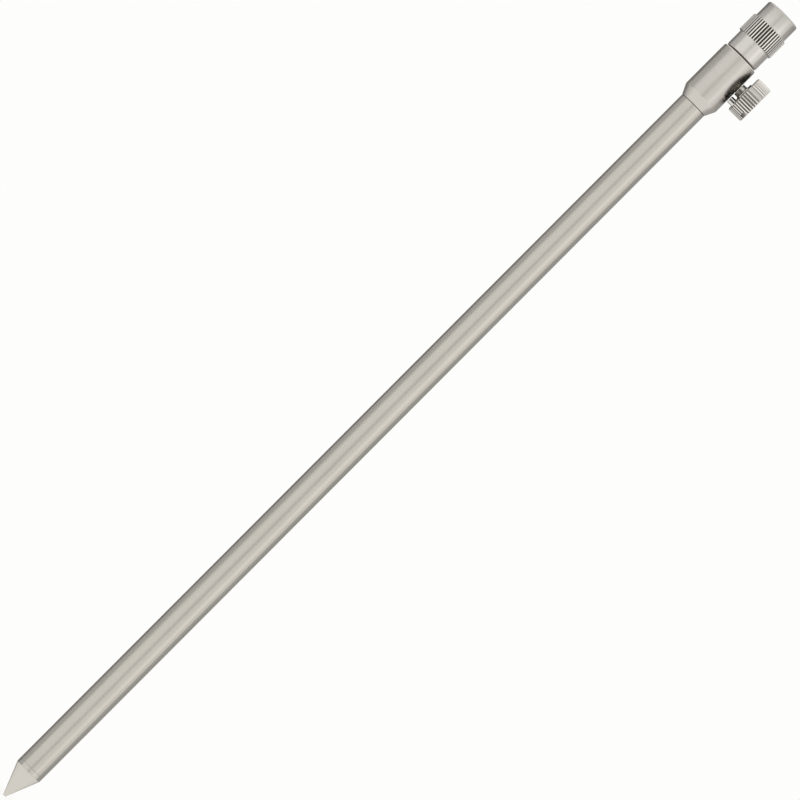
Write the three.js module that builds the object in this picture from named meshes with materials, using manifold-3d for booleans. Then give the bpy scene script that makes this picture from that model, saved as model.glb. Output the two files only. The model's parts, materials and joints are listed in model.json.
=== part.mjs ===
// Telescopic bank stick: a ground tube on a spike, a pole that slides and turns inside it,
// and a thumb screw in the collar that clamps the pole. The pole's head has a threaded socket.
// Millimetres, +Z up the stick, origin at the tip of the spike, thumb screw along +X.

import * as THREE from 'three';
import { mergeVertices } from 'three/addons/utils/BufferGeometryUtils.js';
import Module from 'manifold-3d';

const wasm = await Module();
wasm.setup();

// Clearances
const seatGap = 0.3; // a fixed piece and its seat
const runGap = 0.3; // a moving piece and what guides it
const restGap = 0.25; // end faces that rest on each other
const overrun = 1; // how far a cutting tool passes the face it cuts

// Fineness of round shapes
const tubeSides = 64;
const smallSides = 32;
const pinSides = 20;

// Ground tube
const tubeRadius = 8;
const tubeWall = 0.8;
const tubeLength = 485.4;
const tubeEdge = 0.2;

// Spike
const tipRadius = 0.8;
const coneHeight = 18;
const landHeight = 2.45;
const spikeSpigotLength = 26;
const spigotLead = 1;

// Pole
const poleRoom = 1.2; // radial room between the pole and the tube's bore, which the guides take up
const poleWall = 1;
const poleFloorRoom = 2; // between the closed pole and the spike's spigot
const beadRise = 0.7;
const beadWidth = 0.8;
const beadFlank = 1;

// Collar
const collarRise = 2.8; // how far the collar stands out from the tube
const collarHeight = 34.4;
const collarTaperHeight = 5.6;
const collarFootLip = 0.1;
const collarBevel = 0.45;
const collarSpigotLength = 12;

// Guide bush in the collar's mouth
const bushWall = 1.2;
const bushDepth = 7.7;
const bushFlangeThickness = 0.5;
const bushFlangeInset = 0.5; // how far the flange stays back from the head's rim

// Slide ring, end plug and its pin, at the pole's lower end
const ringLength = 20.4;
const plugFlangeThickness = 5;
const plugLead = 0.8;
const plugSpigotLength = 14;
const plugPinRadius = 1.2;
const plugPinHeight = 5; // above the pole's lower end
const plugPinInset = 0.2;

// Head
const headWall = 4;
const headHeight = 30.95;
const headEdge = 0.5;
const headSeatDepth = 14.2;
const socketRadius = 4.3; // between the crest and the root of the socket's thread
const socketDepth = 13;
const socketLead = 0.7;

// Knurled band of the head
const bandDrop = 10.1; // from the head's top to the band
const bandHeight = 11.2;
const bandRise = 1.15;
const bandEdge = 0.4;
const bandRidges = 42;
const bandTurn = 1.2; // degrees from -Y towards +X to the middle of a groove
const knurlDepth = 0.55;
const ridgeTopShare = 0.4; // of the pitch between ridges
const grooveFloorShare = 0.3;

// Thumb screw
const screwDrop = 11.85; // from the collar's top to the screw's axis
const threadRadius = 3;
const threadLead = 0.4;
const neckRadius = 3.55;
const neckLength = 2.85;
const neckFlare = 0.4;
const shoulderRadius = 6;
const shoulderThickness = 0.8;
const shoulderProud = 0.4; // how far the shoulder stands out of the knob's back
const tailRadius = 2.6;
const tailLength = 6.2;

// Clamp pad on the end of the screw
const padRadius = 2.5;
const padThickness = 1.4;
const padStemRadius = 1.05;
const padStemLength = 2;

// Knob
const knobRadius = 11.25;
const knobThickness = 9;
const knobEdge = 0.8;
const knobRidges = 42;
const knobFlutes = 5; // the stop pin takes the place of the last
const fluteTurn = 18.5; // degrees from -Y towards +Z to the middle of the first flute
const fluteRadius = 1.6;
const fluteDepth = 0.65;
const dishDepth = 0.9;
const dishLand = 0.4; // between the dish and the stop pin's channel

// Stop pin in a channel that breaks through the knob's rim, with a wide notch at its outer end
const stopPinRadius = 2;
const stopPinWall = 0.8;
const stopPinSlot = 0.8;
const stopPinTurn = -54.4; // degrees from -Y towards +Z
const stopPinInset = 2.15; // from the knob's rim in to the pin's axis
const stopPinClearance = 0.35; // between the pin and the collar
const notchRadius = 2.3;
const notchTurn = -49.2; // degrees from -Y towards +Z
const notchInset = 1.2; // from the knob's rim in to the notch's axis
const notchDepth = 2.3; // from the knob's outer face down to the end of the pin

// Derived radii
const tubeBore = tubeRadius - tubeWall;
const poleRadius = tubeBore - poleRoom;
const poleBore = poleRadius - poleWall;
const guideBore = poleRadius + runGap;
const guideRadius = tubeBore - runGap;
const spigotRadius = tubeBore - seatGap;
const collarRadius = tubeRadius + collarRise;
const bushRadius = guideBore + bushWall;
const headRadius = poleRadius + headWall;
const bandRadius = headRadius + bandRise;
const plugPinHole = plugPinRadius + seatGap;
const screwHole = threadRadius + runGap;
const flutePitchRadius = knobRadius - fluteDepth + fluteRadius;
const pinChannelRadius = stopPinRadius + seatGap;
const pinPitchRadius = knobRadius - stopPinInset;
const notchPitchRadius = knobRadius - notchInset;

// Derived heights, from the tip up
const tubeBottom = coneHeight + landHeight + seatGap;
const tubeTop = tubeBottom + tubeLength;
const spikeTop = coneHeight + landHeight + spikeSpigotLength;
const collarFoot = tubeTop + seatGap;
const collarTop = collarFoot + collarHeight;
const flangeBottom = collarTop + restGap;
const flangeTop = flangeBottom + bushFlangeThickness;
const headBottom = flangeTop + restGap;
const headTop = headBottom + headHeight;
const plugBottom = spikeTop + poleFloorRoom;
const poleBottom = plugBottom + plugFlangeThickness + seatGap;
const poleTop = headBottom + headSeatDepth - seatGap;
const ringTop = poleBottom + ringLength;
const beadBottom = ringTop + runGap;
const screwHeight = collarTop - screwDrop;

// Derived places along the thumb screw, out from the stick's axis
const padFace = poleRadius + seatGap;
const padBack = padFace + padThickness;
const studEnd = padBack + seatGap;
const neckStart = collarRadius + restGap;
const neckEnd = neckStart + neckLength;
const shoulderEnd = neckEnd + shoulderThickness;
const knobBack = neckEnd + shoulderProud;
const knobFace = knobBack + knobThickness;

const steel = new THREE.MeshStandardMaterial({ color: 0xc4bfb6, roughness: 0.38, metalness: 1 });
const knurledSteel = new THREE.MeshStandardMaterial({ color: 0xbab4aa, roughness: 0.45, metalness: 1 });
const springSteel = new THREE.MeshStandardMaterial({ color: 0x8f8a83, roughness: 0.4, metalness: 1 });
const brass = new THREE.MeshStandardMaterial({ color: 0xb9964f, roughness: 0.4, metalness: 1 });
const blackPlastic = new THREE.MeshStandardMaterial({ color: 0x1e1c1a, roughness: 0.6, metalness: 0 });
const whitePlastic = new THREE.MeshStandardMaterial({ color: 0xe4e0d6, roughness: 0.55, metalness: 0 });

// A closed geometry as a solid that can be cut and joined
function solidOf(geometry) {
  geometry.deleteAttribute('normal');
  geometry.deleteAttribute('uv');
  const merged = mergeVertices(geometry);
  const index = merged.getIndex().array;
  const corners = [];
  for (let i = 0; i < index.length; i += 3) {
    const [a, b, c] = index.slice(i, i + 3);
    if (a !== b && b !== c && c !== a) corners.push(a, b, c);
  }
  const vertProperties = merged.getAttribute('position').array;
  return new wasm.Manifold(new wasm.Mesh({ numProp: 3, vertProperties, triVerts: new Uint32Array(corners) }));
}

function geometryOf(solid) {
  const { vertProperties, triVerts } = solid.getMesh();
  const geometry = new THREE.BufferGeometry();
  geometry.setAttribute('position', new THREE.BufferAttribute(vertProperties, 3));
  geometry.setIndex(new THREE.BufferAttribute(triVerts, 1));
  geometry.computeVertexNormals();
  return geometry;
}

// A turned solid about +Z, from a profile of [radius, height] points
function turned(profile, sides) {
  const points = profile.map(([radius, height]) => new THREE.Vector2(radius, height));
  return solidOf(new THREE.LatheGeometry(points, sides).rotateX(Math.PI / 2));
}

// A turned solid with a bore: its profile closes on itself
function turnedRing(profile, sides) {
  return turned([...profile, profile[0]], sides);
}

// A rod about +Z between two heights
function rod(radius, low, high, sides = smallSides) {
  return turned([[0, low], [radius, low], [radius, high], [0, high]], sides);
}

// An outline in the XY plane drawn up from one height to another
function drawn(outline, low, high) {
  const geometry = new THREE.ExtrudeGeometry(outline, {
    depth: high - low,
    bevelEnabled: false,
    curveSegments: pinSides,
  });
  return solidOf(geometry.translate(0, 0, low));
}

// A toothed outline of straight ridges; turn is the angle to the middle of a groove
function ridgedOutline(radius, ridges, turn) {
  const pitch = (2 * Math.PI) / ridges;
  const floor = radius - knurlDepth;
  const halfFloor = (pitch * grooveFloorShare) / 2;
  const halfGroove = (pitch * (1 - ridgeTopShare)) / 2;
  const points = [];
  for (let i = 0; i < ridges; i += 1) {
    const middle = turn + i * pitch;
    const corners = [
      [radius, middle - halfGroove],
      [floor, middle - halfFloor],
      [floor, middle + halfFloor],
      [radius, middle + halfGroove],
    ];
    for (const [reach, angle] of corners) {
      points.push(new THREE.Vector2(reach * Math.cos(angle), reach * Math.sin(angle)));
    }
  }
  return new THREE.Shape(points);
}

// A ridged cylinder about +Z with both rims bevelled
function knurled(radius, ridges, turn, low, high, bevel) {
  const reach = bevel + overrun;
  const rims = turned(
    [
      [0, low],
      [radius - bevel, low],
      [radius - bevel + reach, low + reach],
      [radius - bevel + reach, high - reach],
      [radius - bevel, high],
      [0, high],
    ],
    tubeSides,
  );
  return drawn(ridgedOutline(radius, ridges, turn), low, high).intersect(rims);
}

function named(name, solid, material) {
  const mesh = new THREE.Mesh(geometryOf(solid), material);
  mesh.name = name;
  return mesh;
}

function spikePoint() {
  const shoulder = coneHeight + landHeight;
  return turned(
    [
      [0, 0],
      [tipRadius, 0],
      [tubeRadius, coneHeight],
      [tubeRadius, shoulder],
      [spigotRadius, shoulder],
      [spigotRadius, spikeTop - spigotLead],
      [spigotRadius - spigotLead, spikeTop],
      [0, spikeTop],
    ],
    tubeSides,
  );
}

function outerTube() {
  return turnedRing(
    [
      [tubeBore, tubeBottom],
      [tubeRadius - tubeEdge, tubeBottom],
      [tubeRadius, tubeBottom + tubeEdge],
      [tubeRadius, tubeTop - tubeEdge],
      [tubeRadius - tubeEdge, tubeTop],
      [tubeBore, tubeTop],
    ],
    tubeSides,
  );
}

// The collar's spigot goes into the tube, so its tapered foot meets the tube end to end
function collar() {
  const spigotEnd = collarFoot - collarSpigotLength;
  const bushSeat = collarTop - bushDepth - seatGap;
  const body = turnedRing(
    [
      [guideBore, spigotEnd],
      [spigotRadius, spigotEnd],
      [spigotRadius, collarFoot],
      [tubeRadius + collarFootLip, collarFoot],
      [collarRadius, collarFoot + collarTaperHeight],
      [collarRadius, collarTop - collarBevel],
      [collarRadius - collarBevel, collarTop],
      [bushRadius + seatGap, collarTop],
      [bushRadius + seatGap, bushSeat],
      [guideBore, bushSeat],
    ],
    tubeSides,
  );
  const hole = rod(screwHole, 0, collarRadius + overrun).rotate([0, 90, 0]).translate([0, 0, screwHeight]);
  return body.subtract(hole);
}

function guideBush() {
  return turnedRing(
    [
      [guideBore, collarTop - bushDepth],
      [bushRadius, collarTop - bushDepth],
      [bushRadius, flangeBottom],
      [headRadius - bushFlangeInset, flangeBottom],
      [headRadius - bushFlangeInset, flangeTop],
      [guideBore, flangeTop],
    ],
    tubeSides,
  );
}

// A cross hole or pin along Y through the pole's lower end
function crossRod(radius, halfLength) {
  const middle = poleBottom + plugPinHeight;
  return rod(radius, -halfLength, halfLength).rotate([90, 0, 0]).translate([0, 0, middle]);
}

function innerTube() {
  const tube = turnedRing(
    [
      [poleBore, poleBottom],
      [poleRadius, poleBottom],
      [poleRadius, beadBottom],
      [poleRadius + beadRise, beadBottom + beadFlank],
      [poleRadius + beadRise, beadBottom + beadFlank + beadWidth],
      [poleRadius, beadBottom + beadFlank + beadWidth + beadFlank],
      [poleRadius, poleTop],
      [poleBore, poleTop],
    ],
    tubeSides,
  );
  return tube.subtract(crossRod(plugPinHole, poleRadius + overrun));
}

function slideRing() {
  return turnedRing(
    [[guideBore, poleBottom], [guideRadius, poleBottom], [guideRadius, ringTop], [guideBore, ringTop]],
    tubeSides,
  );
}

function endPlug() {
  const flangeEnd = plugBottom + plugFlangeThickness;
  const spigot = poleBore - seatGap;
  const plug = turned(
    [
      [0, plugBottom],
      [guideRadius - plugLead, plugBottom],
      [guideRadius, plugBottom + plugLead],
      [guideRadius, flangeEnd],
      [spigot, flangeEnd],
      [spigot, flangeEnd + plugSpigotLength],
      [0, flangeEnd + plugSpigotLength],
    ],
    tubeSides,
  );
  return plug.subtract(crossRod(plugPinHole, guideRadius));
}

function headBody() {
  const floor = headTop - socketDepth;
  const seat = headBottom + headSeatDepth;
  const core = turned(
    [
      [0, seat],
      [poleRadius + seatGap, seat],
      [poleRadius + seatGap, headBottom],
      [headRadius - headEdge, headBottom],
      [headRadius, headBottom + headEdge],
      [headRadius, headTop - headEdge],
      [headRadius - headEdge, headTop],
      [socketRadius + socketLead, headTop],
      [socketRadius, headTop - socketLead],
      [socketRadius, floor],
      [0, floor],
    ],
    tubeSides,
  );
  const bandTop = headTop - bandDrop;
  const turn = THREE.MathUtils.degToRad(bandTurn) - Math.PI / 2;
  const bored = rod(headRadius - headEdge, bandTop - bandHeight - overrun, bandTop + overrun, tubeSides);
  const band = knurled(bandRadius, bandRidges, turn, bandTop - bandHeight, bandTop, bandEdge);
  return core.add(band.subtract(bored));
}

// The pieces of the thumb screw are made about +Z, outwards, and laid along +X by their group.
// There, -Y is still -Y, and -X is up the stick.

function clampPad() {
  const disc = rod(padRadius, 0, padBack);
  const stem = rod(padStemRadius, padBack - overrun, padBack + padStemLength);
  const hollow = rod(padFace, -padRadius - overrun, padRadius + overrun, tubeSides).rotate([0, 90, 0]);
  return disc.add(stem).subtract(hollow);
}

function thumbStud() {
  const stud = turned(
    [
      [0, studEnd],
      [threadRadius - threadLead, studEnd],
      [threadRadius, studEnd + threadLead],
      [threadRadius, neckStart],
      [neckRadius, neckStart],
      [neckRadius, neckEnd - neckFlare],
      [neckRadius + neckFlare, neckEnd],
      [shoulderRadius, neckEnd],
      [shoulderRadius, shoulderEnd],
      [tailRadius, shoulderEnd],
      [tailRadius, shoulderEnd + tailLength],
      [0, shoulderEnd + tailLength],
    ],
    smallSides,
  );
  const stemEnd = padBack + padStemLength + seatGap;
  return stud.subtract(rod(padStemRadius + seatGap, studEnd - overrun, stemEnd));
}

// Moves a solid out from the screw's axis; turn is in degrees from -Y towards +Z
function setOut(solid, reach, turn) {
  const angle = THREE.MathUtils.degToRad(turn);
  return solid.translate([-reach * Math.sin(angle), -reach * Math.cos(angle), 0]);
}

// The first flute is cut through the middle of a groove
function thumbKnob() {
  const turn = -Math.PI / 2 - THREE.MathUtils.degToRad(fluteTurn);
  let knob = knurled(knobRadius, knobRidges, turn, knobBack, knobFace, knobEdge);
  const flute = rod(fluteRadius, knobBack - overrun, knobFace + overrun);
  for (let i = 0; i < knobFlutes - 1; i += 1) {
    knob = knob.subtract(setOut(flute, flutePitchRadius, fluteTurn + (i * 360) / knobFlutes));
  }
  const channel = rod(pinChannelRadius, knobBack - overrun, knobFace + overrun);
  knob = knob.subtract(setOut(channel, pinPitchRadius, stopPinTurn));
  const notch = rod(notchRadius, knobFace - notchDepth, knobFace + overrun);
  knob = knob.subtract(setOut(notch, notchPitchRadius, notchTurn));
  const recess = rod(shoulderRadius + seatGap, knobBack - overrun, shoulderEnd + seatGap);
  const bore = rod(tailRadius + seatGap, knobBack - overrun, shoulderEnd + tailLength + seatGap);
  const dishRadius = pinPitchRadius - pinChannelRadius - dishLand;
  const dish = rod(dishRadius, knobFace - dishDepth, knobFace + overrun, tubeSides);
  return knob.subtract(recess).subtract(bore).subtract(dish);
}

// A slotted tubular pin; its slot faces -Y
function stopPin() {
  const inner = stopPinRadius - stopPinWall;
  const halfOuter = Math.asin(stopPinSlot / 2 / stopPinRadius);
  const halfInner = Math.asin(stopPinSlot / 2 / inner);
  const down = -Math.PI / 2;
  const section = new THREE.Shape();
  section.absarc(0, 0, stopPinRadius, down + halfOuter, down + 2 * Math.PI - halfOuter, false);
  section.absarc(0, 0, inner, down + 2 * Math.PI - halfInner, down + halfInner, true);
  const pin = drawn(section, collarRadius + stopPinClearance, knobFace - notchDepth);
  return setOut(pin, pinPitchRadius, stopPinTurn);
}

const groundStick = new THREE.Group();
groundStick.add(named('spike_point', spikePoint(), steel));
groundStick.add(named('outer_tube', outerTube(), steel));
groundStick.add(named('collar', collar(), steel));
groundStick.add(named('guide_bush', guideBush(), blackPlastic));

const pole = new THREE.Group();
pole.add(named('inner_tube', innerTube(), steel));
pole.add(named('slide_ring', slideRing(), whitePlastic));
pole.add(named('end_plug', endPlug(), brass));
pole.add(named('plug_pin', crossRod(plugPinRadius, poleRadius - plugPinInset), springSteel));
pole.add(named('head', headBody(), knurledSteel));

const thumbScrew = new THREE.Group();
thumbScrew.position.set(0, 0, screwHeight);
thumbScrew.rotation.y = Math.PI / 2;
thumbScrew.add(named('clamp_pad', clampPad(), brass));
thumbScrew.add(named('thumb_stud', thumbStud(), steel));
thumbScrew.add(named('thumb_knob', thumbKnob(), knurledSteel));
thumbScrew.add(named('stop_pin', stopPin(), springSteel));

const bankStick = new THREE.Group();
bankStick.add(groundStick, pole, thumbScrew);

export default bankStick;
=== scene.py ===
# Telescopic bank stick: a satin stainless ground tube on a turned spike, a collar with a thumb
# screw, and a pole whose knurled head has a threaded socket. Metres, +Z up the stick. Wear,
# painted highlights, dirt, painted shade and polish go from 0 to 1.

import json
from collections import namedtuple
from math import acos, atan2, cos, inf, pi, radians, sin

import bmesh
import bpy
from mathutils import Matrix, Vector

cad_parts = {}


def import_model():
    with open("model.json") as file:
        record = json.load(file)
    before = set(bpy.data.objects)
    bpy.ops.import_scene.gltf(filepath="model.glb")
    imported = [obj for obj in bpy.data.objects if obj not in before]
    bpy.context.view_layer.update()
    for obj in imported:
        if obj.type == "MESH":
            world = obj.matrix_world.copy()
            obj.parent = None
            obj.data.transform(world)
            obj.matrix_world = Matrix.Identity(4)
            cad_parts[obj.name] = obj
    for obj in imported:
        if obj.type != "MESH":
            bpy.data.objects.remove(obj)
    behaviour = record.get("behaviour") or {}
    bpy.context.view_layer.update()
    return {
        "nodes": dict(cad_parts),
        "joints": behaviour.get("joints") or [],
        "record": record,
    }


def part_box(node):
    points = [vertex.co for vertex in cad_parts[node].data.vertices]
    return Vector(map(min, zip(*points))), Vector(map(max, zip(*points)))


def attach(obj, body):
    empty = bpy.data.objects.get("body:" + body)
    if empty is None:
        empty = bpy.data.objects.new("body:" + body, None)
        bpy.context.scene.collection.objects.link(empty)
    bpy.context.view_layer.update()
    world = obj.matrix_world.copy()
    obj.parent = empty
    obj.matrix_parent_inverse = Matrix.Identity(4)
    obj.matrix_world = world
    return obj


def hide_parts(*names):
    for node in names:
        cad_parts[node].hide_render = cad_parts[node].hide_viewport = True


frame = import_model()

MM = 0.001

# Fineness of round shapes
ROUND_SIDES = 192
SMALL_SIDES = 64
EASE_STEPS = 4
SMOOTH_ANGLE = radians(32)
PLACE_DIGITS = 7  # decimals of a metre that tell two vertices apart
WALL_SLACK = 0.02 * MM  # how far a vertex may lie from the wall that it belongs to
OVERCUT = 1 * MM  # how far a cutting tool stands out of what it cuts

# Edges broken by the turner
FINE_EDGE = 0.12 * MM
SOFT_EDGE = 0.3 * MM

# Gaps between pieces
SEAM = 0.08 * MM  # between end faces that meet outside
SEAT_GAP = 0.3 * MM
RUN_GAP = 0.3 * MM

# Ground tube and spike
TUBE_WALL = 0.8 * MM
TIP_RADIUS = 0.8 * MM
TIP_END = 0.2 * MM
CONE_HEIGHT = 18 * MM
POINT_POLISH = 0.4
SPIGOT_LEAD = 1 * MM

# Collar
COLLAR_HEIGHT = 34.4 * MM
COLLAR_TAPER = 5.6 * MM
COLLAR_LIP = 0.1 * MM
COLLAR_BEVEL = 0.45 * MM
TAPER_POLISH = 0.3
# a painted highlight along the collar's top bevel
BEVEL_HIGHLIGHT = 1
SPIGOT_SHADE = 1  # painted shade on the collar's spigot, which darkens the seam to the tube
BUSH_WALL = 1.2 * MM
BUSH_FLANGE = 0.5 * MM
HOLE_CHAMFER = 0.25 * MM

# Pole
POLE_RADIUS = 6 * MM
POLE_WALL = 1 * MM
BEAD_WIDTH = 0.8 * MM
BEAD_FLANK = 1 * MM
PLUG_PIN_HEIGHT = 5 * MM
PLUG_PIN_HOLE = 1.5 * MM

# Head and its socket, with a 3/8 in BSF thread of 20 turns an inch
HEAD_RADIUS = 10 * MM
HEAD_EDGE = 0.5 * MM
HEAD_TOP_EDGE = 0.7 * MM
SEAT_DEPTH = 14.2 * MM
SOCKET_DEPTH = 13 * MM
SOCKET_CREST = 4.0 * MM
SOCKET_ROOT = 4.7 * MM
SOCKET_MOUTH = 5.0 * MM
SOCKET_PITCH = 1.27 * MM

# Knurled band
BAND_DROP = 10.1 * MM
BAND_HEIGHT = 11.2 * MM
BAND_EDGE = 0.4 * MM
BAND_RIDGES = 42
BAND_TURN = radians(1.2)
# painted shade in the band's grooves
BAND_GROOVE_SHADE = 1
RIM_DIRT = 0.2
KNURL_DEPTH = 0.55 * MM

# Thumb screw, with an M6 x 1 thread
THREAD_CREST = 3.0 * MM
THREAD_ROOT = 2.45 * MM
THREAD_PITCH = 1 * MM
NECK_RADIUS = 3.55 * MM
NECK_FILLET = 0.8 * MM
NECK_START = 11.05 * MM
NECK_LENGTH = 2.6 * MM
# painted shade over the neck, lifted where the highlight streaks lie
NECK_SHADE = 0.8
NECK_HIGHLIGHTS = (  # painted highlight streaks: angle from the top, reach either way, strength
    (radians(10), radians(20), 0.6),
    (radians(68), radians(24), 1),
    (radians(124), radians(20), 0.55),
)
SHOULDER_RADIUS = 6 * MM
SHOULDER_THICKNESS = 1.05 * MM
SHOULDER_SHADE = 1  # painted shade on the rim's upper part
SHOULDER_SHADE_TURN = radians(58)  # how far from the top the painted shade reaches
TAIL_RADIUS = 2.6 * MM
STEM_HOLE = 1.35 * MM
STEM_DEPTH = 2.3 * MM

# Knob
KNOB_RADIUS = 11.25 * MM
KNOB_EDGE = 0.8 * MM
KNOB_RIDGES = 42
KNOB_FLUTES = 5  # the stop pin takes the place of the last
FLUTE_RADIUS = 1.6 * MM
FLUTE_DEPTH = 0.65 * MM
# painted shade on the flutes' walls
FLUTE_SHADE = 0.1
FLUTE_REACH = radians(11)  # how far beside a flute the grooves' painted shade fades in
FLUTE_TURN = radians(18.5)
NOTCH_RADIUS = 2.3 * MM
NOTCH_TURN = radians(-49.2)
NOTCH_INSET = 1.2 * MM
NOTCH_DEPTH = 2.3 * MM
# painted shade on the notch's wall
NOTCH_SHADE = 0.4
# painted shade on the knob's back face and back edge, which face the collar
BACK_SHADE = 0.85
BACK_EDGE_SHADE = 0.5
# painted shade in the knob's grooves
KNOB_GROOVE_SHADE = 0.6
KNOB_SHADE_TILT = 0.4  # painted shade, more below, less on top
DISH_DEPTH = 0.9 * MM
DISH_LAND = 0.4 * MM

# Stop pin
PIN_RADIUS = 2 * MM
PIN_WALL = 0.8 * MM
PIN_SLOT = 0.8 * MM
PIN_TURN = radians(-54.4)
PIN_INSET = 2.15 * MM
PIN_SEAT = 0.8 * MM  # how deep the knob's back is open round the pin
# painted shade round the pin where it enters the knob's back
PIN_SEAT_SHADE = 0.9
PIN_EDGE = 0.3 * MM
PIN_EDGE_WEAR = 0.3
# painted shade inside the pin
PIN_BORE_SHADE = 0.75
PIN_TOP_SHADE = 1  # painted shade on the pin's upper side
PIN_TOP_SHADE_TURN = radians(60)  # how far from the top the painted shade reaches

# Straight knurling, as shares of the pitch between ridges
CREST_SHARE = 0.4
FLOOR_SHARE = 0.3
SOFT_SHARE = 0.05  # by which its corners are rounded, either way
FLANK_SPREAD = 0.55  # below 1, the grooves' painted shade climbs up the flanks

# Threads
THREAD_ROWS = 10  # for each turn
THREAD_FADE = 0.8  # turns over which a thread runs out
THREAD_RELIEF = 0.25  # turns between the screw's thread and its neck
THREAD_ROOT_SHADE = 0.5  # painted shade at the roots

# Camera and light
CAMERA_DISTANCE = 2.87
CAMERA_SIDE = 0.395 * MM
CAMERA_HEIGHT = 290.53 * MM
VIEW_WIDTH = 415.37 * MM
SENSOR = 36
CLIP_END = 100
ROLL = radians(44.94)
FLOOR_RADIUS = 9
FLOOR_SIDES = 64
FLOOR_GLOW = 0.8  # share of the floor's look that shadows don't darken
FLAG_RADIUS = 1.6
FLAG_FOOT = -0.5
FLAG_TOP = 1.3
FLAG_STEPS = 24
BACKDROP = (0.985, 0.985, 0.972)
WORLD_LIGHT = (1, 0.995, 0.985)

Row = namedtuple("Row", "radius height wear dirt", defaults=(0, 0))
Spot = namedtuple("Spot", "place wear dirt", defaults=(0, 0))


def low(node):
    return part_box(node)[0]


def high(node):
    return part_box(node)[1]


def joint(name):
    return next(j for j in frame["joints"] if j["name"] == name)


SCREW_HEIGHT = joint("thumb_screw_turn")["pos_m"][2]
SCREW = Matrix.Translation((0, 0, SCREW_HEIGHT)) @ Matrix.Rotation(pi / 2, 4, "Y")


# Meshes

def smoothed(piece):
    """Smooth faces, with creases where the surface turns sharply."""
    mesh = piece.data
    for face in mesh.polygons:
        face.use_smooth = True
    mesh.set_sharp_from_angle(angle=SMOOTH_ANGLE)
    return piece


def loft(name, sections, closed=False):
    """A solid through a list of sections, each a list of spots, with a face at either end."""
    bm = bmesh.new()
    wear = bm.verts.layers.float.new("wear")
    dirt = bm.verts.layers.float.new("dirt")
    loops = []
    for section in sections:
        loop = [bm.verts.new(spot.place) for spot in section]
        for vert, spot in zip(loop, section):
            vert[wear] = spot.wear
            vert[dirt] = spot.dirt
        loops.append(loop)
    pairs = list(zip(loops, loops[1:]))
    if closed:
        pairs.append((loops[-1], loops[0]))
    else:
        bm.faces.new(loops[0])
        bm.faces.new(loops[-1])
    for lower, upper in pairs:
        for i in range(len(lower)):
            bm.faces.new((lower[i - 1], lower[i], upper[i], upper[i - 1]))
    bmesh.ops.recalc_face_normals(bm, faces=bm.faces)
    mesh = bpy.data.meshes.new(name)
    bm.to_mesh(mesh)
    bm.free()
    piece = bpy.data.objects.new(name, mesh)
    bpy.context.scene.collection.objects.link(piece)
    return smoothed(piece)


def circle(sides):
    return [2 * pi * i / sides for i in range(sides)]


def turned(name, rows, angles=None, shape=None, closed=False):
    """A turned piece about +Z. shape(row, angle) may change a row at an angle."""
    angles = angles or circle(ROUND_SIDES)
    sections = []
    for row in rows:
        section = []
        for angle in angles:
            spot = shape(row, angle) if shape else row
            place = (spot.radius * cos(angle), spot.radius * sin(angle), spot.height)
            section.append(Spot(place, spot.wear, spot.dirt))
        sections.append(section)
    return loft(name, sections, closed)


def eased(corners, closed=False):
    """Rows along a profile of (radius, height, ease) corners, each rounded over its ease."""
    rows = []
    count = len(corners)
    for i, (radius, height, ease) in enumerate(corners):
        at_end = not closed and i in (0, count - 1)
        if ease == 0 or at_end:
            rows.append(Row(radius, height))
            continue
        here = Vector((radius, height))
        arms = [Vector(other[:2]) - here for other in (corners[i - 1], corners[(i + 1) % count])]
        units = [arm.normalized() for arm in arms]
        before, after = (unit * min(ease, arm.length / 2) for unit, arm in zip(units, arms))
        sharpness = min(1, 2 + 2 * units[0].dot(units[1])) if ease <= SOFT_EDGE else 0
        for step in range(EASE_STEPS + 1):
            t = step / EASE_STEPS
            place = here + before * (1 - t) ** 2 + after * t ** 2
            rows.append(Row(place.x, place.y, sharpness * 4 * t * (1 - t)))
    return rows


def brightened(rows, start, end, wear):
    """Brightens the rows between two heights: polish on the spike's point and the collar's taper,
    a painted highlight on the collar's top bevel.
    """
    return [
        row._replace(wear=max(row.wear, wear)) if start <= row.height <= end else row
        for row in rows
    ]


def dirtied(rows, start, end, dirt):
    """Dulls the rows between two heights with dirt."""
    return [row._replace(wear=0, dirt=dirt) if start <= row.height <= end else row for row in rows]


def cut(piece, *tools):
    """Cuts the tools out of a piece and removes them. What they cut starts with no wear,
    highlight, dirt or painted shade.
    """
    kept = {vert.co.to_tuple(PLACE_DIGITS) for vert in piece.data.vertices}
    for tool in tools:
        modifier = piece.modifiers.new("cut", "BOOLEAN")
        modifier.operation = "DIFFERENCE"
        modifier.solver = "EXACT"
        modifier.object = tool
    scene = bpy.context.evaluated_depsgraph_get()
    mesh = bpy.data.meshes.new_from_object(piece.evaluated_get(scene))
    piece.modifiers.clear()
    piece.data = mesh
    for name in ("wear", "dirt"):
        values = mesh.attributes[name].data
        for vert in mesh.vertices:
            if vert.co.to_tuple(PLACE_DIGITS) not in kept:
                values[vert.index].value = 0
    for tool in tools:
        bpy.data.objects.remove(tool)
    return smoothed(piece)


def shaded_wall(piece, spot, radius, dirt):
    """Paints shade on a round wall about an axis along Z, and takes its wear away."""
    wears, shade_values = (piece.data.attributes[name].data for name in ("wear", "dirt"))
    for vert in piece.data.vertices:
        if abs((vert.co.xy - spot).length - radius) <= WALL_SLACK:
            wears[vert.index].value = 0
            shade_values[vert.index].value = dirt


def shaded_face(piece, height, radius, dirt):
    """Paints shade on a level face, out to a radius."""
    shade_values = piece.data.attributes["dirt"].data
    for vert in piece.data.vertices:
        if abs(vert.co.z - height) <= WALL_SLACK and vert.co.xy.length < radius:
            shade_values[vert.index].value = dirt


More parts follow.
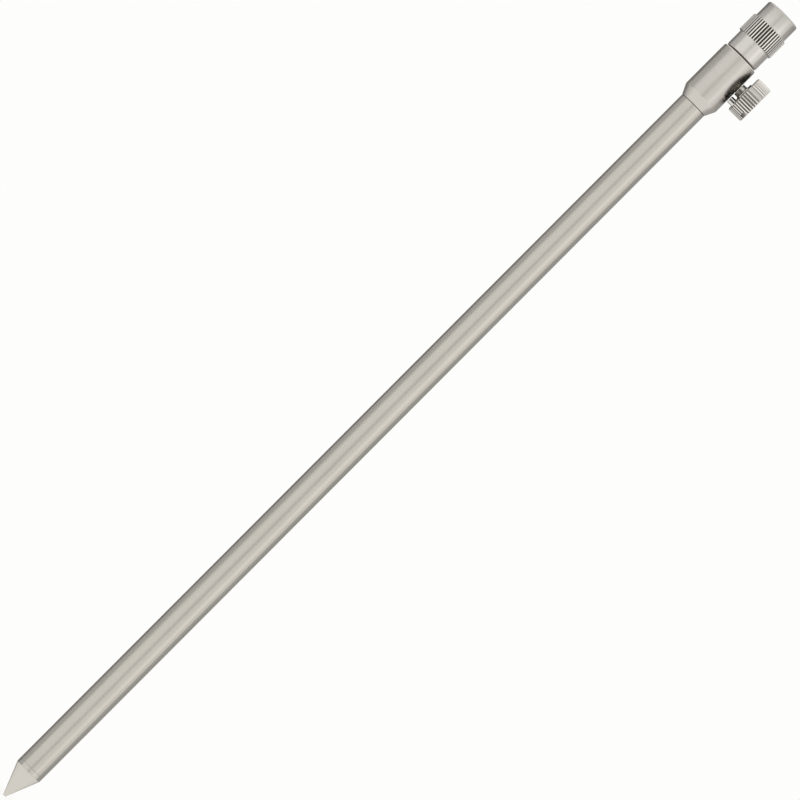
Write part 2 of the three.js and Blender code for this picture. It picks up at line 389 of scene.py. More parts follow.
def resurface(piece, shape, start, end):
    """Sets wear and painted shade again on a shaped outside that tools have cut into."""
    wears, shade_values = (piece.data.attributes[name].data for name in ("wear", "dirt"))
    for vert in piece.data.vertices:
        if start <= vert.co.z <= end:
            angle = atan2(vert.co.y, vert.co.x)
            row = shape(Row(inf, vert.co.z), angle)
            if abs(vert.co.xy.length - row.radius) <= WALL_SLACK:
                wears[vert.index].value = row.wear
                shade_values[vert.index].value = row.dirt


def place(piece, matrix):
    piece.data.transform(matrix)
    return piece


def rod(name, radius, start, end, sides=SMALL_SIDES):
    return turned(name, [Row(radius, start), Row(radius, end)], circle(sides))


# Knurls and threads

def knurl_angles(ridges, turn):
    """Angles at the feet, flanks and crests of straight ridges. turn is the middle of a groove."""
    half_floor = FLOOR_SHARE / 2
    half_groove = (1 - CREST_SHARE) / 2
    shares = [0]
    shares += [half_floor - SOFT_SHARE, half_floor + SOFT_SHARE]
    shares += [half_groove - SOFT_SHARE, half_groove + SOFT_SHARE]
    shares += [0.5]
    shares += [1 - share for share in reversed(shares[1:-1])]
    pitch = 2 * pi / ridges
    return [turn + pitch * (ridge + share) for ridge in range(ridges) for share in shares]


def ridge_rise(angle, ridges, turn):
    """0 on a groove's floor, 1 on a ridge's crest."""
    share = (angle - turn) * ridges / (2 * pi) % 1
    from_middle = min(share, 1 - share)
    half_floor = FLOOR_SHARE / 2
    half_groove = (1 - CREST_SHARE) / 2
    rise = (from_middle - half_floor) / (half_groove - half_floor)
    return max(0, min(1, rise))


def wave(angle, height, pitch):
    """0 at the root of a right-hand thread, 1 at its crest."""
    turn = height / pitch - angle / (2 * pi)
    return 0.5 + 0.5 * cos(2 * pi * turn)


def run_out(height, start, end, pitch):
    """1 along a thread, 0 at its two ends."""
    reach = THREAD_FADE * pitch
    return max(0, min(1, (height - start) / reach, (end - height) / reach))


def thread_rows(radius, start, end, pitch):
    count = round(abs(end - start) / pitch * THREAD_ROWS)
    return [Row(radius, start + (end - start) * i / count) for i in range(1, count)]


# Pieces

def spike_point():
    radius = high("outer_tube").x
    shoulder = low("outer_tube").z - SEAM
    spigot = high("spike_point").z
    spigot_radius = radius - TUBE_WALL - SEAT_GAP
    corners = [
        (TIP_END, 0, 0),
        (TIP_RADIUS, 0, TIP_RADIUS / 2),
        (radius, CONE_HEIGHT, SOFT_EDGE),
        (radius, shoulder, FINE_EDGE),
        (spigot_radius, shoulder, 0),
        (spigot_radius, spigot - SPIGOT_LEAD, FINE_EDGE),
        (spigot_radius - SPIGOT_LEAD, spigot, 0),
    ]
    rows = brightened(eased(corners), 0, CONE_HEIGHT, POINT_POLISH)
    return turned("spike_point_fine", rows)


def outer_tube():
    bottom, top = low("outer_tube"), high("outer_tube")
    bore = top.x - TUBE_WALL
    corners = [
        (bore, bottom.z, FINE_EDGE),
        (top.x, bottom.z, FINE_EDGE),
        (top.x, top.z, FINE_EDGE),
        (bore, top.z, FINE_EDGE),
    ]
    return turned("outer_tube_fine", eased(corners, closed=True), closed=True)


def collar():
    end, radius = low("collar").z, high("collar").x
    foot = high("collar").z - COLLAR_HEIGHT
    top = high("guide_bush").z - BUSH_FLANGE - SEAM
    tube_radius = high("outer_tube").x
    spigot = tube_radius - TUBE_WALL - SEAT_GAP
    bore = POLE_RADIUS + RUN_GAP
    bush = bore + BUSH_WALL + SEAT_GAP
    seat = low("guide_bush").z - SEAT_GAP
    corners = [
        (bore, end, FINE_EDGE),
        (spigot, end, FINE_EDGE),
        (spigot, foot - 2 * SEAT_GAP, 0),
        (spigot, foot, 0),
        (tube_radius + COLLAR_LIP, foot, FINE_EDGE),
        (radius, foot + COLLAR_TAPER, SOFT_EDGE),
        (radius, top - COLLAR_BEVEL, FINE_EDGE),
        (radius - COLLAR_BEVEL, top, FINE_EDGE),
        (bush, top, FINE_EDGE),
        (bush, seat, 0),
        (bore, seat, FINE_EDGE),
    ]
    rows = brightened(eased(corners, closed=True), foot, foot + COLLAR_TAPER, TAPER_POLISH)
    # a painted highlight along the top bevel
    rows = brightened(rows, top - COLLAR_BEVEL, top, BEVEL_HIGHLIGHT)
    # painted shade on the spigot, seen through the seam to the tube
    rows = [
        row._replace(dirt=SPIGOT_SHADE) if row.radius <= spigot and row.height <= foot else row
        for row in rows
    ]
    piece = turned("collar_fine", rows, closed=True)
    hole = THREAD_CREST + RUN_GAP
    reach = hole + HOLE_CHAMFER + OVERCUT
    rows = [
        Row(hole, 0),
        Row(hole, radius - HOLE_CHAMFER),
        Row(reach, radius - HOLE_CHAMFER + reach - hole),
    ]
    tool = place(turned("hole", rows, circle(SMALL_SIDES)), SCREW)
    return cut(piece, tool)


def guide_bush():
    bottom, top = low("guide_bush").z, high("guide_bush").z
    bore = POLE_RADIUS + RUN_GAP
    wall = bore + BUSH_WALL
    flange = high("guide_bush").x
    corners = [
        (bore, bottom, FINE_EDGE),
        (wall, bottom, FINE_EDGE),
        (wall, top - BUSH_FLANGE, 0),
        (flange, top - BUSH_FLANGE, FINE_EDGE),
        (flange, top, FINE_EDGE),
        (bore, top, FINE_EDGE),
    ]
    return turned("guide_bush_fine", eased(corners, closed=True), closed=True)


def inner_tube():
    bottom, top = low("inner_tube").z, high("inner_tube").z
    bead = high("inner_tube").x
    bore = POLE_RADIUS - POLE_WALL
    bead_low = high("slide_ring").z + RUN_GAP
    bead_top = bead_low + BEAD_FLANK + BEAD_WIDTH
    corners = [
        (bore, bottom, FINE_EDGE),
        (POLE_RADIUS, bottom, FINE_EDGE),
        (POLE_RADIUS, bead_low, SOFT_EDGE),
        (bead, bead_low + BEAD_FLANK, SOFT_EDGE),
        (bead, bead_top, SOFT_EDGE),
        (POLE_RADIUS, bead_top + BEAD_FLANK, SOFT_EDGE),
        (POLE_RADIUS, top, FINE_EDGE),
        (bore, top, FINE_EDGE),
    ]
    piece = turned("inner_tube_fine", eased(corners, closed=True), closed=True)
    reach = POLE_RADIUS + OVERCUT
    tool = rod("cross_hole", PLUG_PIN_HOLE, -reach, reach)
    across = Matrix.Translation((0, 0, bottom + PLUG_PIN_HEIGHT)) @ Matrix.Rotation(pi / 2, 4, "X")
    return cut(piece, place(tool, across))


def slide_ring():
    bottom, top = low("slide_ring").z, high("slide_ring").z
    bore = POLE_RADIUS + RUN_GAP
    radius = high("slide_ring").x
    corners = [
        (bore, bottom, FINE_EDGE),
        (radius, bottom, SOFT_EDGE),
        (radius, top, SOFT_EDGE),
        (bore, top, FINE_EDGE),
    ]
    return turned("slide_ring_fine", eased(corners, closed=True), closed=True)


def head():
    seat, bottom = low("head").z + SEAT_DEPTH, high("guide_bush").z + SEAM
    top = high("head").z
    band = min(high("head").x, high("head").y)
    band_top = top - BAND_DROP
    band_bottom = band_top - BAND_HEIGHT
    seat_radius = POLE_RADIUS + SEAT_GAP
    floor = top - SOCKET_DEPTH
    mouth = top - (SOCKET_MOUTH - SOCKET_CREST)
    turn = BAND_TURN - pi / 2
    outside = [
        (seat_radius, seat, 0),
        (seat_radius, bottom, FINE_EDGE),
        (HEAD_RADIUS - HEAD_EDGE, bottom, FINE_EDGE),
        (HEAD_RADIUS, bottom + HEAD_EDGE, FINE_EDGE),
        (HEAD_RADIUS, band_bottom, 0),
        (band - BAND_EDGE, band_bottom, FINE_EDGE),
        (band, band_bottom + BAND_EDGE, FINE_EDGE),
        (band, band_top - BAND_EDGE, FINE_EDGE),
        (band - BAND_EDGE, band_top, FINE_EDGE),
        (HEAD_RADIUS, band_top, 0),
        (HEAD_RADIUS, top - HEAD_TOP_EDGE, SOFT_EDGE),
        (HEAD_RADIUS - HEAD_TOP_EDGE, top, SOFT_EDGE),
        (SOCKET_MOUTH, top, FINE_EDGE),
        (SOCKET_CREST, mouth, 0),
    ]
    rows = dirtied(eased(outside), top - HEAD_TOP_EDGE - SOFT_EDGE, top, RIM_DIRT)
    rows += thread_rows(SOCKET_CREST, mouth, floor, SOCKET_PITCH)
    rows += [Row(SOCKET_CREST, floor)]

    def shape(row, angle):
        if row.radius > HEAD_RADIUS:
            rise = ridge_rise(angle, BAND_RIDGES, turn)
            outline = band - KNURL_DEPTH * (1 - rise)
            wear = max(row.wear, rise)
            # painted shade in the grooves, which climbs the flanks
            dirt = BAND_GROOVE_SHADE * (1 - rise) ** FLANK_SPREAD
            return Row(min(row.radius, outline), row.height, wear, dirt)
        if row.radius == SOCKET_CREST:
            depth = run_out(row.height, floor, mouth, SOCKET_PITCH)
            cutting = (1 - wave(angle, row.height, SOCKET_PITCH)) * depth
            radius = SOCKET_CREST + (SOCKET_ROOT - SOCKET_CREST) * cutting
            # painted shade in the socket thread's roots
            return Row(radius, row.height, 0, THREAD_ROOT_SHADE * cutting)
        return row

    return turned("head_fine", rows, knurl_angles(BAND_RIDGES, turn), shape)


def thumb_stud():
    start, tail = low("thumb_stud").x, high("thumb_stud").x
    neck_end = NECK_START + NECK_LENGTH
    shoulder_end = neck_end + SHOULDER_THICKNESS
    thread_end = NECK_START - THREAD_PITCH * THREAD_RELIEF
    corners = [
        (STEM_HOLE, start + STEM_DEPTH, 0),
        (STEM_HOLE, start, FINE_EDGE),
        (THREAD_ROOT, start, FINE_EDGE),
        (THREAD_CREST, start + THREAD_CREST - THREAD_ROOT, 0),
    ]
    rows = eased(corners)
    rows += thread_rows(THREAD_CREST, rows[-1].height, thread_end, THREAD_PITCH)
    rows += eased([
        (THREAD_ROOT, thread_end, 0),
        (THREAD_ROOT, NECK_START, 0),
        (NECK_RADIUS, NECK_START, FINE_EDGE),
        (NECK_RADIUS, neck_end, NECK_FILLET),
        (SHOULDER_RADIUS, neck_end, FINE_EDGE),
        (SHOULDER_RADIUS, shoulder_end, FINE_EDGE),
        (TAIL_RADIUS, shoulder_end, 0),
        (TAIL_RADIUS, tail - FINE_EDGE, 0),
        (TAIL_RADIUS - FINE_EDGE, tail, 0),
    ])

    def shape(row, angle):
        if row.radius > NECK_RADIUS + NECK_FILLET:
            # painted shade on the upper part of the shoulder's rim
            darkened = -cos(angle) > cos(SHOULDER_SHADE_TURN)
            return row._replace(dirt=SHOULDER_SHADE) if darkened else row
        if row.radius >= NECK_RADIUS:
            # The neck is painted with shade, lifted by painted highlight streaks at set angles
            # from the top.
            from_top = acos(max(-1, min(1, -cos(angle))))
            bright = sum(
                strength * max(0, 1 - abs(from_top - middle) / reach)
                for middle, reach, strength in NECK_HIGHLIGHTS
            )
            return row._replace(wear=max(0, bright - NECK_SHADE), dirt=max(0, NECK_SHADE - bright))
        if row.radius != THREAD_CREST:
            return row
        depth = run_out(row.height, start, thread_end + THREAD_PITCH, THREAD_PITCH)
        cutting = (1 - wave(angle, row.height, THREAD_PITCH)) * depth
        radius = THREAD_CREST - (THREAD_CREST - THREAD_ROOT) * cutting
        # painted shade in the screw thread's roots
        return Row(radius, row.height, 0, THREAD_ROOT_SHADE * cutting)

    piece = turned("thumb_stud_fine", rows, circle(SMALL_SIDES * 2), shape)
    piece.matrix_world = SCREW
    return piece


def set_out(reach, turn):
    """A place seen along the screw from inside, where -Y is down and -X is up the stick."""
    return Vector((-reach * sin(turn), -reach * cos(turn)))


def flute(spot, back, face):
    """A tool for a flute along the knob, with eased ends."""
    flared = FLUTE_RADIUS + SOFT_EDGE + OVERCUT
    rows = [
        Row(flared, back - OVERCUT),
        Row(FLUTE_RADIUS, back + SOFT_EDGE),
        Row(FLUTE_RADIUS, face - SOFT_EDGE),
        Row(flared, face + OVERCUT),
    ]
    return place(turned("flute", rows, circle(SMALL_SIDES)), Matrix.Translation((*spot, 0)))


def thumb_knob():
    back, face = low("thumb_knob").x, high("thumb_knob").x
    shoulder_end = NECK_START + NECK_LENGTH + SHOULDER_THICKNESS
    turn = -pi / 2 - FLUTE_TURN
    flute_turns = [2 * pi * i / KNOB_FLUTES for i in range(KNOB_FLUTES - 1)]
    flat = KNOB_RADIUS - KNOB_EDGE
    corners = [
        (flat, back, 0),
        (KNOB_RADIUS - KNOB_EDGE / 2, back + KNOB_EDGE / 4, FINE_EDGE),
        (KNOB_RADIUS, back + KNOB_EDGE, FINE_EDGE),
        (KNOB_RADIUS, face - KNOB_EDGE, FINE_EDGE),
        (KNOB_RADIUS - KNOB_EDGE / 2, face - KNOB_EDGE / 4, FINE_EDGE),
        (flat, face, 0),
    ]

    def shape(row, angle):
        if row.radius <= flat:
            return row
        rise = ridge_rise(angle, KNOB_RIDGES, turn)
        outline = KNOB_RADIUS - KNURL_DEPTH * (1 - rise)
        radius = min(row.radius, outline)
        # painted shade on the back edge
        if row.height < back + KNOB_EDGE / 2:
            return Row(radius, row.height, 0, BACK_EDGE_SHADE)
        # painted shade in the grooves, darker towards the bottom, fading out near the flutes
        from_flute = min(abs((angle - turn + step + pi) % (2 * pi) - pi) for step in flute_turns)
        dirt = (KNOB_GROOVE_SHADE + KNOB_SHADE_TILT * cos(angle)) * min(1, from_flute / FLUTE_REACH)
        return Row(radius, row.height, max(row.wear, rise), dirt * (1 - rise) ** FLANK_SPREAD)

    # an inner row on the back face, painted with shade
    rows = [Row(flat - FINE_EDGE, back, 0, BACK_SHADE)] + eased(corners)
    piece = turned("thumb_knob_fine", rows, knurl_angles(KNOB_RIDGES, turn), shape)
    pin_pitch = KNOB_RADIUS - PIN_INSET
    pin_seat = PIN_RADIUS + SEAT_GAP
    dish = pin_pitch - pin_seat - DISH_LAND
    dish_rows = [
        Row(dish - SOFT_EDGE, face - DISH_DEPTH),
        Row(dish, face - DISH_DEPTH + SOFT_EDGE),
        Row(dish, face - FINE_EDGE),
        Row(dish + FINE_EDGE + OVERCUT, face + OVERCUT),
    ]
    below = back - OVERCUT
    tools = [turned("dish", dish_rows)]
    tools += [rod("recess", SHOULDER_RADIUS + SEAM, below, shoulder_end + SEAM)]
    tools += [rod("bore", TAIL_RADIUS + SEAT_GAP, below, high("thumb_stud").x + SEAT_GAP)]
    flute_pitch = KNOB_RADIUS - FLUTE_DEPTH + FLUTE_RADIUS
    flutes = [set_out(flute_pitch, FLUTE_TURN + step) for step in flute_turns]
    tools += [flute(spot, back, face) for spot in flutes]
    pin_spot = set_out(pin_pitch, PIN_TURN)
    seat = rod("pin_seat", pin_seat, below, back + PIN_SEAT)
    tools.append(place(seat, Matrix.Translation((*pin_spot, 0))))
    notch_spot = set_out(KNOB_RADIUS - NOTCH_INSET, NOTCH_TURN)
    notch = rod("notch", NOTCH_RADIUS, face - NOTCH_DEPTH, face + OVERCUT)
    tools.append(place(notch, Matrix.Translation((*notch_spot, 0))))
    piece = cut(piece, *tools)
    # painted shade on the flute walls
    for spot in flutes:
        shaded_wall(piece, spot, FLUTE_RADIUS, FLUTE_SHADE)
    # painted shade round the pin's seat
    shaded_wall(piece, pin_spot, pin_seat, PIN_SEAT_SHADE)
    # painted shade on the notch's wall
    shaded_wall(piece, notch_spot, NOTCH_RADIUS, NOTCH_SHADE)
    resurface(piece, shape, back + KNOB_EDGE / 2, face)
    # painted shade on the back face
    shaded_face(piece, back, flat - WALL_SLACK, BACK_SHADE)
    piece.matrix_world = SCREW
    return piece


def stop_pin():
    """A slotted tubular pin, with its slot towards -Y. Its hidden end stops in the knob's back."""
    start, end = low("stop_pin").x, low("thumb_knob").x + PIN_SEAT - SEAM
    axis = set_out(KNOB_RADIUS - PIN_INSET, PIN_TURN)
    steps = SMALL_SIDES
    inner = PIN_RADIUS - PIN_WALL
    rims = ((start, True), (start + PIN_EDGE, False), (end - PIN_EDGE, False), (end, True))
    sections = []
    for height, at_rim in rims:
        outer = PIN_RADIUS - PIN_EDGE if at_rim else PIN_RADIUS
        wear = PIN_EDGE_WEAR if at_rim else 0
        section = []
        for radius, order in ((outer, range(steps + 1)), (inner, range(steps, -1, -1))):
            half = PIN_SLOT / 2 / radius
            for i in order:
                angle = -pi / 2 + half + (2 * pi - 2 * half) * i / steps
                spot = axis + radius * Vector((cos(angle), sin(angle)))
                # painted shade inside the pin and along its upper side
                dirt = PIN_BORE_SHADE if radius == inner else 0
                if -cos(angle) > cos(PIN_TOP_SHADE_TURN):
                    dirt = PIN_TOP_SHADE
                section.append(Spot((spot.x, spot.y, height), wear, dirt))
        sections.append(section)
    piece = loft("stop_pin_fine", sections)
    piece.matrix_world = SCREW
    return piece


# Metal finish
TUBE_GRAIN = (2600, 2600, 9)  # how fine its lines are across and along
RING_GRAIN = 4200  # how fine the turning rings are
RING_DRIFT = 60  # how soon they change round the piece
LINE_SHARE = 0.6
CLOUD_SHARE = 0.4
CLOUD_SCALE = 55
CLOUD_DETAIL = 4
TONE_SPREAD = (-0.4, 1.4)
TONE_SHADES = (0.93, 1.06)
BRIGHTENING_SHARE = 0.8
BRIGHTENING_SHADE = 1.35
# the near-black that painted shade, with a little dirt, mixes towards
GRIME_AND_SHADE = (0.03, 0.025, 0.02)
DARKENING_SPREAD = (0.9, 1.05)
SATIN_SPREAD = 0.07
DIRT_ROUGHNESS = 0.3
WORN_ROUGHNESS = -0.05
GRAIN_BUMP = 0.22
GRAIN_DEPTH = 0.01 * MM
RING_ROTATION = 0.25  # turns of the gloss to lie round the piece
EDGE_TINT = (0.82, 0.8, 0.78, 1)
DARKENED_EDGE_TINT = (0.08, 0.075, 0.07, 1)

# Plastic finish
PORE_SCALE = 5200
PORE_DETAIL = 2
PORE_BUMP = 0.3
PORE_DEPTH = 0.02 * MM
PORE_ROUGHNESS = (-0.08, 0.12)
MOULD_CLOUDS = 140
MOULD_SPREAD = (-0.3, 1.3)
MOULD_SHADES = (0.88, 1.1)
MOULD_EDGE_SHARE = 0.4
MOULD_EDGE_SHADE = 1.5

# Colours
STEEL = (0.59, 0.562, 0.515)
DRAWN_STEEL = (0.575, 0.547, 0.495)
HEAD_STEEL = (0.67, 0.643, 0.606)
SPRING_COLOUR = (0.7, 0.68, 0.65)
BRASS_COLOUR = (0.62, 0.44, 0.19)
BLACK = (0.018, 0.016, 0.014)
WHITE = (0.8, 0.77, 0.7)


# Materials

class Surface:
    """A procedural material around one Principled shader."""

    def __init__(self, name, metallic):
        self.material = bpy.data.materials.new(name)
        self.material.use_nodes = True
        self.nodes = self.material.node_tree.nodes
        self.links = self.material.node_tree.links
        self.shader = self.nodes["Principled BSDF"]
        self.shader.inputs["Metallic"].default_value = metallic

    def node(self, kind, inputs=(), **settings):
        made = self.nodes.new("ShaderNode" + kind)
        for key, value in settings.items():
            setattr(made, key, value)
        for key, value in dict(inputs).items():
            if isinstance(value, bpy.types.NodeSocket):
                self.links.new(value, made.inputs[key])
            else:
                made.inputs[key].default_value = value
        return made

    def math(self, operation, first, second, clamp=False):
        made = self.node("Math", {0: first, 1: second}, operation=operation, use_clamp=clamp)
        return made.outputs[0]

    def mix(self, share, first, second):
        made = self.node("Mix", data_type="RGBA")
        for socket, value in ((0, share), (6, first), (7, second)):
            if isinstance(value, bpy.types.NodeSocket):
                self.links.new(value, made.inputs[socket])
            else:
                made.inputs[socket].default_value = value
        return made.outputs[2]

    def spread(self, value, low_end, high_end):
        made = self.node("MapRange", {"Value": value, "To Min": low_end, "To Max": high_end})
        return made.outputs["Result"]

    def noise(self, vector, scale, detail=3):
        made = self.node("TexNoise", {"Vector": vector, "Scale": scale, "Detail": detail})
        return made.outputs["Fac"]

    def attribute(self, name):
        return self.node("Attribute", attribute_name=name).outputs["Fac"]

    def place(self):
        return self.node("TexCoord").outputs["Object"]

    def bump(self, height, strength, distance):
        sizes = {"Height": height, "Strength": strength, "Distance": distance}
        self.links.new(self.node("Bump", sizes).outputs[0], self.shader.inputs["Normal"])


def shade(colour, factor):
    return (*(min(1, channel * factor) for channel in colour), 1)


def along_grain(surface):
    """Fine lines along the axis, as a polished tube has."""
    return surface.node("Mapping", {"Vector": surface.place(), "Scale": TUBE_GRAIN}).outputs[0]


def around_grain(surface):
    """Fine rings round the axis, as a turned piece has."""
    split = surface.node("SeparateXYZ", {0: surface.place()}).outputs
    across = surface.node("CombineXYZ", {0: split[0], 1: split[1]}).outputs[0]
    reach = surface.node("VectorMath", {0: across}, operation="LENGTH").outputs["Value"]
    along = surface.math("ADD", split[2], reach)
    rings = surface.math("MULTIPLY", along, RING_GRAIN)
    slow = [surface.math("MULTIPLY", split[axis], RING_DRIFT) for axis in (0, 1)]
    return surface.node("CombineXYZ", {0: slow[0], 1: slow[1], 2: rings}).outputs[0]


def metal(name, colour, grain, roughness, anisotropy, darkened=True):
    """A brushed metal. Ridges and edges are worn bright, some edges with a painted highlight, and
    painted shade, with a little dirt, darkens grooves, recesses and shaded sides.
    """
    surface = Surface(name, metallic=1)
    inputs = surface.shader.inputs
    lines = surface.noise(grain(surface), 1)
    clouds = surface.noise(surface.place(), CLOUD_SCALE, CLOUD_DETAIL)
    fine = surface.math("MULTIPLY", lines, LINE_SHARE)
    tone = surface.math("ADD", fine, surface.math("MULTIPLY", clouds, CLOUD_SHARE))
    brightening = surface.attribute("wear")
    dirt = surface.attribute("dirt")
    shades = [shade(colour, factor) for factor in TONE_SHADES]
    steel = surface.mix(surface.spread(tone, *TONE_SPREAD), *shades)
    # Worn edges and crests, and painted highlights, mix towards a paler steel
    bright = surface.math("MULTIPLY", brightening, BRIGHTENING_SHARE)
    steel = surface.mix(bright, steel, shade(colour, BRIGHTENING_SHADE))
    # Painted shade, with a little dirt, mixes towards near-black
    darkening = surface.math("MULTIPLY", dirt, surface.spread(clouds, *DARKENING_SPREAD), clamp=True)
    surface.links.new(surface.mix(darkening, steel, (*GRIME_AND_SHADE, 1)), inputs["Base Color"])
    satin = surface.spread(tone, roughness - SATIN_SPREAD, roughness + SATIN_SPREAD)
    dull = surface.math("MULTIPLY", dirt, DIRT_ROUGHNESS)
    polish = surface.math("MULTIPLY", brightening, WORN_ROUGHNESS)
    rough = surface.math("ADD", surface.math("ADD", satin, dull), polish, clamp=True)
    surface.links.new(rough, inputs["Roughness"])
    surface.bump(lines, GRAIN_BUMP, GRAIN_DEPTH)
    tangent = surface.node("Tangent", direction_type="RADIAL", axis="Z").outputs[0]
    surface.links.new(tangent, inputs["Tangent"])
    inputs["Anisotropic"].default_value = anisotropy
    inputs["Anisotropic Rotation"].default_value = RING_ROTATION if grain is around_grain else 0
    inputs["Specular Tint"].default_value = EDGE_TINT
    # Painted shade, with a little dirt, also darkens the gloss's edge tint
    if darkened:
        edge = surface.mix(darkening, EDGE_TINT, DARKENED_EDGE_TINT)
        surface.links.new(edge, inputs["Specular Tint"])
    return surface.material


def plastic(name, colour, roughness):
    """A moulded plastic with a fine spark texture and slightly paler edges."""
    surface = Surface(name, metallic=0)
    inputs = surface.shader.inputs
    pores = surface.noise(surface.place(), PORE_SCALE, PORE_DETAIL)
    clouds = surface.noise(surface.place(), MOULD_CLOUDS)
    shades = [shade(colour, factor) for factor in MOULD_SHADES]
    tone = surface.mix(surface.spread(clouds, *MOULD_SPREAD), *shades)
    brightening = surface.math("MULTIPLY", surface.attribute("wear"), MOULD_EDGE_SHARE)
    tone = surface.mix(brightening, tone, shade(colour, MOULD_EDGE_SHADE))
    surface.links.new(tone, inputs["Base Color"])
    rough = surface.spread(pores, *(roughness + change for change in PORE_ROUGHNESS))
    surface.links.new(rough, inputs["Roughness"])
    surface.bump(pores, PORE_BUMP, PORE_DEPTH)
    return surface.material


TUBE_STEEL = metal(
    "tube_steel", DRAWN_STEEL, along_grain, roughness=0.25, anisotropy=0.35, darkened=False
)
TURNED_STEEL = metal("turned_steel", STEEL, around_grain, roughness=0.25, anisotropy=0.3)
COLLAR_STEEL = metal("collar_steel", STEEL, around_grain, roughness=0.32, anisotropy=0.3)
KNURLED_STEEL = metal("knurled_steel", HEAD_STEEL, around_grain, roughness=0.28, anisotropy=0.25)
SPRING_STEEL = metal("spring_steel", SPRING_COLOUR, along_grain, roughness=0.15, anisotropy=0.2)
BRASS = metal("brass", BRASS_COLOUR, around_grain, roughness=0.3, anisotropy=0.3, darkened=False)
BLACK_PLASTIC = plastic("black_plastic", BLACK, roughness=0.5)
WHITE_PLASTIC = plastic("white_plastic", WHITE, roughness=0.45)


# Dressing the frame

BODIES = {
    node: body
    for body, nodes in frame["record"]["behaviour"]["bodies"].items()
    for node in nodes
}


def dress(node, piece, material):
    """Puts a fine piece in a node's place."""
    piece.data.materials.clear()
    piece.data.materials.append(material)
    normals = piece.modifiers.new("even_normals", "WEIGHTED_NORMAL")
    normals.keep_sharp = True
    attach(piece, BODIES[node])
    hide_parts(node)


def paint(node, material):
    """Gives a CAD node its finish."""
    mesh = frame["nodes"][node].data
    mesh.materials.clear()
    mesh.materials.append(material)


dress("spike_point", spike_point(), TURNED_STEEL)
dress("outer_tube", outer_tube(), TUBE_STEEL)
dress("collar", collar(), COLLAR_STEEL)
dress("guide_bush", guide_bush(), BLACK_PLASTIC)
dress("inner_tube", inner_tube(), TUBE_STEEL)
dress("slide_ring", slide_ring(), WHITE_PLASTIC)
dress("head", head(), KNURLED_STEEL)
dress("thumb_stud", thumb_stud(), TURNED_STEEL)
dress("thumb_knob", thumb_knob(), KNURLED_STEEL)
dress("stop_pin", stop_pin(), SPRING_STEEL)
paint("end_plug", BRASS)
paint("plug_pin", SPRING_STEEL)
paint("clamp_pad", BRASS)


# Studio

def seen_background(tree):
    """1 for rays that show the background: from the camera, and by gloss or glass."""
    path = tree.nodes.new("ShaderNodeLightPath").outputs
    seen = path["Is Camera Ray"]
    for name in ("Is Glossy Ray", "Is Transmission Ray"):
        either = tree.nodes.new("ShaderNodeMath")
        either.operation = "MAXIMUM"
        tree.links.new(seen, either.inputs[0])
        tree.links.new(path[name], either.inputs[1])
        seen = either.outputs[0]
    return seen


def world():
    made = bpy.data.worlds.new("studio")
    made.use_nodes = True
    tree = made.node_tree
    light = tree.nodes["Background"]
    light.inputs["Color"].default_value = (*WORLD_LIGHT, 1)
    light.inputs["Strength"].default_value = 1
    backdrop = tree.nodes.new("ShaderNodeBackground")
    backdrop.inputs["Color"].default_value = (*BACKDROP, 1)
    choice = tree.nodes.new("ShaderNodeMixShader")
    tree.links.new(seen_background(tree), choice.inputs[0])
    tree.links.new(light.outputs[0], choice.inputs[1])
    tree.links.new(backdrop.outputs[0], choice.inputs[2])
    tree.links.new(choice.outputs[0], tree.nodes["World Output"].inputs[0])
    bpy.context.scene.world = made


def floor():
    """A wide pale floor that keeps the stick's soft shadow."""
    bm = bmesh.new()
    bmesh.ops.create_circle(bm, cap_ends=True, segments=FLOOR_SIDES, radius=FLOOR_RADIUS)
    mesh = bpy.data.meshes.new("floor")
    bm.to_mesh(mesh)
    bm.free()
    piece = bpy.data.objects.new("floor", mesh)
    bpy.context.scene.collection.objects.link(piece)
    material = bpy.data.materials.new("floor")
    material.use_nodes = True
    tree = material.node_tree
    matte = tree.nodes.new("ShaderNodeBsdfDiffuse")
    matte.inputs["Color"].default_value = (*BACKDROP, 1)
    glow = tree.nodes.new("ShaderNodeEmission")
    glow.inputs["Color"].default_value = (*BACKDROP, 1)
    share = tree.nodes.new("ShaderNodeMath")
    share.operation = "MULTIPLY"
    share.inputs[1].default_value = FLOOR_GLOW
    tree.links.new(seen_background(tree), share.inputs[0])
    choice = tree.nodes.new("ShaderNodeMixShader")
    tree.links.new(share.outputs[0], choice.inputs[0])
    tree.links.new(matte.outputs[0], choice.inputs[1])
    tree.links.new(glow.outputs[0], choice.inputs[2])
    tree.links.new(choice.outputs[0], tree.nodes["Material Output"].inputs[0])
    mesh.materials.append(material)
    piece.visible_glossy = False


def flag(name, start, end, level, foot=FLAG_FOOT, top=FLAG_TOP):
    """A grey card that only gloss shows, between two bearings in degrees from the camera."""
    bm = bmesh.new()
    columns = []
    for i in range(FLAG_STEPS + 1):
        bearing = radians(start + (end - start) * i / FLAG_STEPS)
        x, y = FLAG_RADIUS * sin(bearing), -FLAG_RADIUS * cos(bearing)
        columns.append([bm.verts.new((x, y, z)) for z in (foot, top)])
    for left, right in zip(columns, columns[1:]):
        bm.faces.new((left[0], right[0], right[1], left[1]))
    gloss_card(name, bm, level)


def gloss_card(name, bm, level):
    """A glowing grey mesh that only gloss shows."""
    mesh = bpy.data.meshes.new(name)
    bm.to_mesh(mesh)
    bm.free()
    piece = bpy.data.objects.new(name, mesh)
    bpy.context.scene.collection.objects.link(piece)
    material = bpy.data.materials.new(name)
    material.use_nodes = True
    tree = material.node_tree
    glow = tree.nodes.new("ShaderNodeEmission")
    glow.inputs["Color"].default_value = (level, level, level, 1)
    tree.links.new(glow.outputs[0], tree.nodes["Material Output"].inputs[0])
    mesh.materials.append(material)
    piece.visible_camera = False
    piece.visible_diffuse = False
    piece.visible_shadow = False


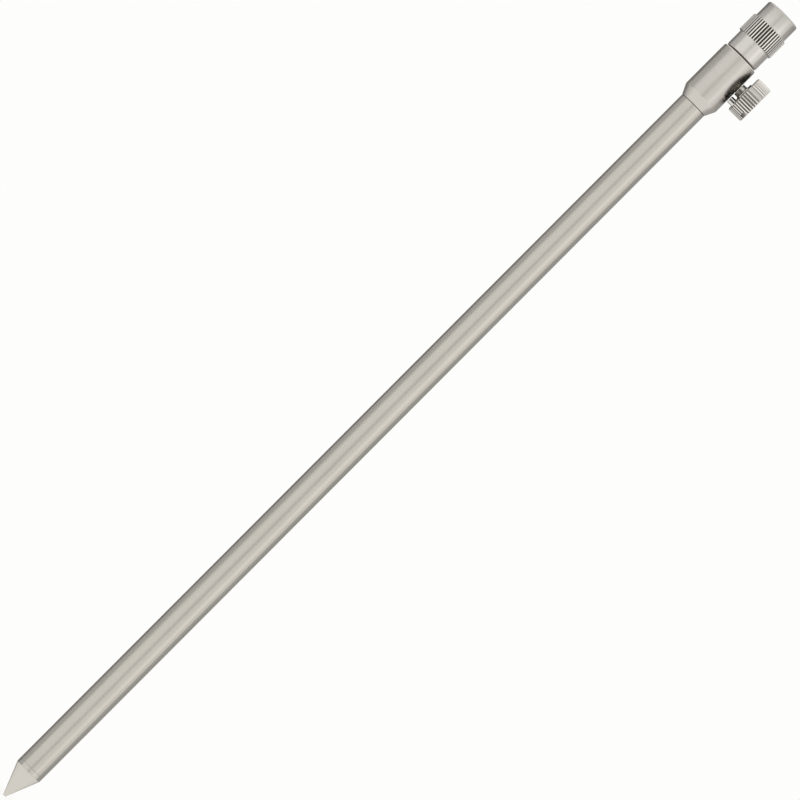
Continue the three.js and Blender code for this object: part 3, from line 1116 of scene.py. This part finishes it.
def low_card(name, width, start, end, height, level):
    """A level grey card behind the stick that only gloss shows."""
    bm = bmesh.new()
    corners = [(side * width / 2, y) for side, y in ((-1, start), (1, start), (1, end), (-1, end))]
    bm.faces.new([bm.verts.new((x, y, height)) for x, y in corners])
    gloss_card(name, bm, level)


def softbox(name, bearing, height, distance, size, level):
    """A soft lamp that faces the stick. level is its brightness, where 1 is white."""
    data = bpy.data.lights.new(name, "AREA")
    data.shape = "RECTANGLE"
    data.size, data.size_y = size
    data.energy = level * pi * size[0] * size[1]
    lamp = bpy.data.objects.new(name, data)
    angle = radians(bearing)
    place = Vector((distance * sin(angle), -distance * cos(angle), height))
    target = Vector((0, 0, CAMERA_HEIGHT))
    lamp.location = place
    lamp.rotation_euler = (target - place).to_track_quat("-Z", "Y").to_euler()
    bpy.context.scene.collection.objects.link(lamp)


def camera():
    data = bpy.data.cameras.new("camera")
    data.sensor_width = SENSOR
    data.lens = SENSOR * CAMERA_DISTANCE / VIEW_WIDTH
    data.clip_end = CLIP_END
    made = bpy.data.objects.new("camera", data)
    right = Vector((cos(ROLL), 0, sin(ROLL)))
    up = Vector((-sin(ROLL), 0, cos(ROLL)))
    back = Vector((0, -1, 0))
    made.matrix_world = Matrix((
        (right.x, up.x, back.x, CAMERA_SIDE),
        (right.y, up.y, back.y, -CAMERA_DISTANCE),
        (right.z, up.z, back.z, CAMERA_HEIGHT),
        (0, 0, 0, 1),
    ))
    bpy.context.scene.collection.objects.link(made)
    bpy.context.scene.camera = made


camera()
world()
floor()
softbox("key_softbox", bearing=54, height=0.5, distance=1.5, size=(0.55, 1.4), level=0.25)
softbox("fill_softbox", bearing=-40, height=0.5, distance=1.5, size=(1.0, 1.4), level=0.02)
flag("camera_gap", start=-8, end=8, level=0.66, foot=-0.35, top=0.9)
flag("right_flag", start=93, end=180, level=0.5)
flag("left_near_flag", start=-122, end=-74, level=0.6)
flag("left_far_flag", start=-180, end=-122, level=0.27)
low_card("low_card", width=1.2, start=0.3, end=2.4, height=-0.45, level=0.55)
bpy.context.scene.view_settings.view_transform = "Standard"
